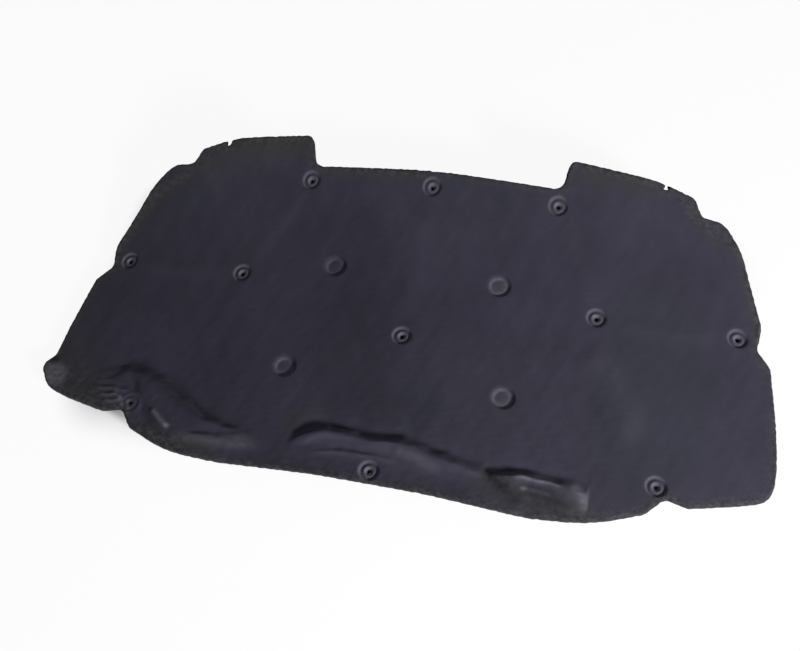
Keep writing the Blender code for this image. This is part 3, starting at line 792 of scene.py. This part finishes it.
def triangulated(outline, holes, loose):
    """Triangles over the outline less the holes, whose points come first: the points and the triangles."""
    loops = [outline, *holes]
    edges = []
    start = 0
    for loop in loops:
        count = len(loop)
        edges += [(start + index, start + (index + 1) % count) for index in range(count)]
        start += count
    everything = [Vector(point) for loop in loops for point in loop] + [Vector(point) for point in loose]
    merge_distance = 1e-7
    points, _, faces, *_ = delaunay_2d_cdt(everything, edges, [], 1, merge_distance)
    points = np.array([point[:] for point in points])
    faces = np.array(faces)
    middles = points[faces].mean(axis=1)
    keep = inside(middles, outline)
    within = 0.97
    for hole in holes:
        centre = hole.mean(axis=0)
        keep &= distance_to(middles, centre) > np.hypot(*(hole[0] - centre)) * within
    return points, faces[keep]


def round_holes(radius):
    """The outlines of the clip holes."""
    turn = np.arange(HOLE_SIDES) * 2 * math.pi / HOLE_SIDES
    circle = np.stack([np.cos(turn), np.sin(turn)], axis=1) * radius
    return [np.array(centre) + circle for centre in SEATS]


def edge_distance(points, outline):
    """Each point's distance from the outline, which the first points lie on."""
    away, _ = distance_to_line(points, outline, closed=True)
    away[:len(outline)] = 0
    return away


def field_clear_of_edge(outline, clearance, *spacings):
    """The field's points that lie farther than the clearance from the outline."""
    points = field_points(outline, *spacings)
    away, _ = distance_to_line(points, outline, closed=True)
    return points[away > clearance]


def top_mesh(outline, insets):
    """The upper surface, flat: its points and its triangles."""
    rings = [ring_points(SEATS, SEAT_SECTION[:-1]), ring_points(DISCS, DISC_SECTION)]
    rim = clear_of(rim_points(outline, insets), SEATS, RIM_TO_SEAT)
    field = field_clear_of_edge(outline, FIELD_TO_EDGE, FIELD_SPACING, FINE_SPACING)
    field = clear_of(clear_of(field, SEATS, FIELD_TO_SEAT), DISCS, FIELD_TO_DISC)
    return triangulated(outline, round_holes(HOLE_RADIUS), np.concatenate([rim, *rings, field]))


def under_mesh(outline, insets):
    """The underside, flat: its points and its triangles."""
    field = clear_of(field_clear_of_edge(outline, UNDER_TO_EDGE, UNDER_SPACING), SEATS, UNDER_TO_SEAT)
    loose = np.concatenate([rim_points(outline, insets), field])
    return triangulated(outline, round_holes(HOLE_FOOT_RADIUS), loose)


def side_walls(loops, top_count):
    """Faces that join each loop of the top's points to the same loop of the underside's."""
    walls = []
    first = 0
    for size in loops:
        for index in range(size):
            here, there = first + index, first + (index + 1) % size
            walls.append((here, there, there + top_count, here + top_count))
        first += size
    return walls


def make_pad():
    """The whole felt sheet as one closed mesh: its points, its faces and what its material reads."""
    eased = softened(respaced(rounded(pad_corners()), EDGE_SPACING), CORNER_PASSES)
    outline = respaced(with_slots(eased), EDGE_SPACING)
    outline += np.stack([waves(outline, *wave) for wave in OUTLINE_WAVES], axis=1)
    insets = [EDGE_ROUND * (1 - math.cos(math.radians(angle))) for angle in RIM_ANGLES]
    top, top_faces = top_mesh(outline, [*insets, *RIM_INSETS])
    under, under_faces = under_mesh(outline, insets[1::2])
    top_edge, under_edge = edge_distance(top, outline), edge_distance(under, outline)

    count = len(top)
    loops = [len(outline)] + [HOLE_SIDES] * len(SEATS)
    faces = [tuple(face) for face in top_faces] + [tuple(face[::-1] + count) for face in under_faces]
    flat = np.concatenate([top, under])
    heights = np.concatenate([top_height(top, top_edge), rounded_drop(under_edge)])
    places = np.column_stack([flat, heights + formed_height(flat)])
    edge = np.concatenate([top_edge, under_edge])
    shares = felt_shares(flat, edge, count, slice(len(outline), sum(loops)))
    return places, faces + side_walls(loops, count), shares


def build_piece():
    """The pad as an object, set down where the frame has the part."""
    places, faces, shares = make_pad()
    mesh = bpy.data.meshes.new("pad_felt")
    mesh.from_pydata(places.tolist(), [], faces)
    for name, values in shares.items():
        mesh.attributes.new(name, "FLOAT", "POINT").data.foreach_set("value", values.astype(np.float32))
    form = bmesh.new()
    form.from_mesh(mesh)
    bmesh.ops.recalc_face_normals(form, faces=form.faces)
    shift = Vector((*DRAWING_SHIFT, LOW[2] - min(vertex.co.z for vertex in form.verts)))
    bmesh.ops.translate(form, verts=form.verts, vec=shift)
    open_edges = sum(1 for edge in form.edges if len(edge.link_faces) != 2)
    form.to_mesh(mesh)
    form.free()
    mesh.shade_smooth()
    piece = bpy.data.objects.new("pad_felt", mesh)
    bpy.context.scene.collection.objects.link(piece)
    triangles = sum(len(face.vertices) - 2 for face in mesh.polygons)
    print("pad_felt", len(mesh.vertices), "points", triangles, "triangles, open edges", open_edges)
    return piece


def add(tree, kind, place, **values):
    """A new node of this kind at this place in the tree, with its settings."""
    node = tree.nodes.new(kind)
    node.location = place
    for name, value in values.items():
        setattr(node, name, value)
    return node


def noise(tree, place, where, scale, detail, roughness=0.5):
    """A noise texture laid over the object."""
    node = add(tree, "ShaderNodeTexNoise", place)
    node.inputs["Scale"].default_value = scale
    node.inputs["Detail"].default_value = detail
    node.inputs["Roughness"].default_value = roughness
    tree.links.new(where, node.inputs["Vector"])
    return node.outputs["Fac"]


def ramp(tree, place, share, low, high):
    """A colour ramp between two stops, each a position and a colour."""
    node = add(tree, "ShaderNodeValToRGB", place)
    for stop, (position, colour) in zip(node.color_ramp.elements, (low, high)):
        stop.position = position
        stop.color = (*colour, 1)
    tree.links.new(share, node.inputs["Fac"])
    return node.outputs["Color"]


def mesh_share(tree, place, name):
    """The share that the mesh holds at each point under this name."""
    return add(tree, "ShaderNodeAttribute", place, attribute_name=name).outputs["Fac"]


def multiplied(tree, place, first, second, share=None):
    """The first colour times the second, in full or by the share."""
    node = add(tree, "ShaderNodeMix", place, data_type="RGBA", blend_type="MULTIPLY")
    node.inputs["Factor"].default_value = 1.0
    tree.links.new(first, node.inputs["A"])
    tree.links.new(second, node.inputs["B"])
    if share:
        tree.links.new(share, node.inputs["Factor"])
    return node.outputs["Result"]


def turned(tree, place, first, colour, share):
    """The first colour, turned into another one by the share."""
    node = add(tree, "ShaderNodeMix", place, data_type="RGBA")
    node.inputs["B"].default_value = (*colour, 1)
    tree.links.new(first, node.inputs["A"])
    tree.links.new(share, node.inputs["Factor"])
    return node.outputs["Result"]


def felt_material():
    """Black needled felt: mottled, with short fibres, a faint sheen and a rougher rim."""
    made = bpy.data.materials.new("pad_felt")
    made.use_nodes = True
    tree = made.node_tree
    shader = tree.nodes["Principled BSDF"]
    shader.inputs["Roughness"].default_value = 0.92
    shader.inputs["Specular IOR Level"].default_value = 0.10
    shader.inputs["Sheen Weight"].default_value = 0.06
    shader.inputs["Sheen Roughness"].default_value = 0.45
    shader.inputs["Sheen Tint"].default_value = (0.80, 0.80, 1.0, 1)

    where = add(tree, "ShaderNodeTexCoord", (-2200, 0)).outputs["Object"]
    mottle = noise(tree, (-2000, 600), where, scale=9, detail=5, roughness=0.55)
    drift = noise(tree, (-2000, 300), where, scale=3.2, detail=3)
    fibre = noise(tree, (-2000, 0), where, scale=900, detail=3)
    speck = noise(tree, (-2000, -300), where, scale=105, detail=4, roughness=0.7)
    dark_violet, light_violet = (0.0245, 0.0228, 0.0340), (0.0325, 0.0302, 0.0450)
    tone = ramp(tree, (-1700, 600), mottle, (0.30, dark_violet), (0.72, light_violet))
    hue = ramp(tree, (-1700, 300), drift, (0.34, (1.025, 0.985, 1.03)), (0.66, (0.965, 1.01, 0.99)))
    fleck = ramp(tree, (-1700, 0), fibre, (0.35, (0.82, 0.82, 0.82)), (0.75, (1.25, 1.25, 1.25)))
    freckle = ramp(tree, (-1700, -300), speck, (0.40, (0.45, 0.45, 0.48)), (0.64, (2.0, 1.95, 1.9)))
    blue, rim, speckled, painted_light_and_tone, painted_shade = (
        mesh_share(tree, (-1200 + 200 * index, 700), name)
        for index, name in enumerate(("blue", "rim", "speck", "painted_light_and_tone", "painted_shade"))
    )

    colour = multiplied(tree, (-1400, 300), tone, hue)
    colour = multiplied(tree, (-1200, 300), colour, fleck)
    colour = turned(tree, (-1000, 300), colour, (0.0262, 0.0282, 0.0385), blue)
    colour = turned(tree, (-800, 300), colour, (0.0288, 0.0283, 0.0306), rim)
    colour = multiplied(tree, (-600, 300), colour, freckle, speckled)
    # Paler pressed felt together with painted highlights
    colour = turned(tree, (-400, 300), colour, (0.190, 0.186, 0.205), painted_light_and_tone)
    # Painted shade, in near black
    colour = turned(tree, (-200, 300), colour, (0.004, 0.004, 0.005), painted_shade)
    tree.links.new(colour, shader.inputs["Base Color"])

    bump = add(tree, "ShaderNodeBump", (-300, -200))
    bump.inputs["Strength"].default_value = 0.35
    bump.inputs["Distance"].default_value = 0.0008
    tree.links.new(fibre, bump.inputs["Height"])
    tree.links.new(bump.outputs["Normal"], shader.inputs["Normal"])
    return made


# The part of the floor under the pad that shows its shadow, and the run over which that ends
SHADE_HALF_WIDTH = 0.55
SHADE_HALF_LENGTH = 0.22
SHADE_FADE = 0.12

# Camera: the photo's view, fitted to the pad's own landmarks
AZIMUTH = math.radians(22.095)
ELEVATION = math.radians(58.881)
ROLL = math.radians(-11.5)
DISTANCE = 1.7844
TARGET = Vector((0.0002, -0.0260, 0.0620))
FOCAL_PIXELS = 950
IMAGE_WIDTH = 800
SENSOR_WIDTH = 36

# Key lamp, from the photo's lower right, and the faint light from all round
KEY_DIRECTION = Vector((0.742, -0.556, 0.375))
KEY_DISTANCE = 3.2
KEY_DIAMETER = 0.6
KEY_POWER = 190
SKY_STRENGTH = 0.26

# How white the floor is to the camera round the pad, its size and its gap under the pad
FLOOR_WHITE = 0.925
FLOOR_SIZE = 14
FLOOR_GAP = 0.0005


def camera_axes():
    """The camera's right, its up and its back, which points from the target to the camera."""
    flat = math.cos(ELEVATION)
    back = Vector((math.sin(AZIMUTH) * flat, -math.cos(AZIMUTH) * flat, math.sin(ELEVATION)))
    level = Vector((math.cos(AZIMUTH), math.sin(AZIMUTH), 0))
    upward = back.cross(level)
    right = math.cos(ROLL) * level + math.sin(ROLL) * upward
    return right, back.cross(right), back


def make_camera():
    """The photo's camera."""
    right, up, back = camera_axes()
    data = bpy.data.cameras.new("camera")
    data.sensor_width = SENSOR_WIDTH
    data.lens = FOCAL_PIXELS * SENSOR_WIDTH / IMAGE_WIDTH
    camera = bpy.data.objects.new("camera", data)
    turn = Matrix((right, up, back)).transposed().to_4x4()
    camera.matrix_world = Matrix.Translation(TARGET + back * DISTANCE) @ turn
    bpy.context.scene.collection.objects.link(camera)
    bpy.context.scene.camera = camera


def make_key_lamp():
    """A round lamp aimed at the pad."""
    data = bpy.data.lights.new("key", "AREA")
    data.shape = "DISK"
    data.size = KEY_DIAMETER
    data.energy = KEY_POWER
    lamp = bpy.data.objects.new("key", data)
    lamp.location = TARGET + KEY_DIRECTION.normalized() * KEY_DISTANCE
    lamp.rotation_euler = (-KEY_DIRECTION).to_track_quat("-Z", "Y").to_euler()
    bpy.context.scene.collection.objects.link(lamp)


def seen_share(tree):
    """1 for what the camera sees by itself, in a reflection or through glass, and 0 for light on the pad."""
    path = add(tree, "ShaderNodeLightPath", (-900, 300))
    value = path.outputs["Is Camera Ray"]
    for ray in ("Is Glossy Ray", "Is Transmission Ray"):
        most = add(tree, "ShaderNodeMath", (-600, 300), operation="MAXIMUM")
        tree.links.new(value, most.inputs[0])
        tree.links.new(path.outputs[ray], most.inputs[1])
        value = most.outputs["Value"]
    return value


def clear_share(tree):
    """0 on the floor under the pad, rising to 1 round it, so that the pad's own shadow shows there."""
    place = add(tree, "ShaderNodeTexCoord", (-1500, -300))
    offset = add(tree, "ShaderNodeVectorMath", (-1300, -300), operation="ABSOLUTE")
    past = add(tree, "ShaderNodeVectorMath", (-1100, -300), operation="SUBTRACT")
    past.inputs[1].default_value = (SHADE_HALF_WIDTH, SHADE_HALF_LENGTH, 0)
    outside = add(tree, "ShaderNodeVectorMath", (-900, -300), operation="MAXIMUM")
    outside.inputs[1].default_value = (0, 0, 0)
    away = add(tree, "ShaderNodeVectorMath", (-700, -300), operation="LENGTH")
    share = add(tree, "ShaderNodeMapRange", (-500, -300), interpolation_type="SMOOTHSTEP")
    share.inputs["From Max"].default_value = SHADE_FADE
    tree.links.new(place.outputs["Object"], offset.inputs[0])
    tree.links.new(offset.outputs["Vector"], past.inputs[0])
    tree.links.new(past.outputs["Vector"], outside.inputs[0])
    tree.links.new(outside.outputs["Vector"], away.inputs[0])
    tree.links.new(away.outputs["Value"], share.inputs["Value"])
    return share.outputs["Result"]


def mixed_shader(tree, share, first, second, out):
    """Two shaders mixed by the share, sent to the tree's output."""
    mix = add(tree, "ShaderNodeMixShader", (300, 0))
    tree.links.new(share, mix.inputs["Fac"])
    tree.links.new(first, mix.inputs[1])
    tree.links.new(second, mix.inputs[2])
    tree.links.new(mix.outputs["Shader"], out.inputs["Surface"])


def make_world():
    """Surroundings that are white to the camera and a soft, faint light on the pad."""
    world = bpy.data.worlds.new("studio")
    bpy.context.scene.world = world
    world.use_nodes = True
    tree = world.node_tree
    tree.nodes.clear()
    out = add(tree, "ShaderNodeOutputWorld", (600, 0))
    seen = add(tree, "ShaderNodeBackground", (0, 100))
    seen.inputs["Color"].default_value = (1, 1, 1, 1)
    seen.inputs["Strength"].default_value = 1.0
    lit = add(tree, "ShaderNodeBackground", (0, -100))
    lit.inputs["Color"].default_value = (0.93, 0.95, 1, 1)
    lit.inputs["Strength"].default_value = SKY_STRENGTH
    mixed_shader(tree, seen_share(tree), lit.outputs["Background"], seen.outputs["Background"], out)


def floor_material():
    """White to the camera round the pad, and a plain white surface with its shadow under the pad."""
    material = bpy.data.materials.new("floor")
    material.use_nodes = True
    tree = material.node_tree
    shader = tree.nodes["Principled BSDF"]
    shader.inputs["Base Color"].default_value = (0.80, 0.80, 0.81, 1)
    shader.inputs["Roughness"].default_value = 0.9
    glow = add(tree, "ShaderNodeEmission", (0, -300))
    glow.inputs["Color"].default_value = (1, 1, 1, 1)
    glow.inputs["Strength"].default_value = 1.0
    clear = add(tree, "ShaderNodeMath", (-300, 300), operation="MULTIPLY")
    tree.links.new(seen_share(tree), clear.inputs[0])
    tree.links.new(clear_share(tree), clear.inputs[1])
    share = add(tree, "ShaderNodeMath", (0, 300), operation="MULTIPLY")
    share.inputs[1].default_value = FLOOR_WHITE
    tree.links.new(clear.outputs["Value"], share.inputs[0])
    out = tree.nodes["Material Output"]
    mixed_shader(tree, share.outputs["Value"], shader.outputs["BSDF"], glow.outputs["Emission"], out)
    return material


def make_floor():
    """The floor that the pad lies on, which is part of the studio."""
    bpy.ops.mesh.primitive_plane_add(size=FLOOR_SIZE, location=(0, 0, LOW[2] - FLOOR_GAP))
    floor = bpy.context.object
    floor.name = "floor"
    floor.data.materials.append(floor_material())


pad = build_piece()
pad.data.materials.append(felt_material())
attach(pad, "root")
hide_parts("hood_pad")

make_camera()
make_key_lamp()
make_world()
make_floor()
bpy.context.scene.view_settings.view_transform = "Standard"
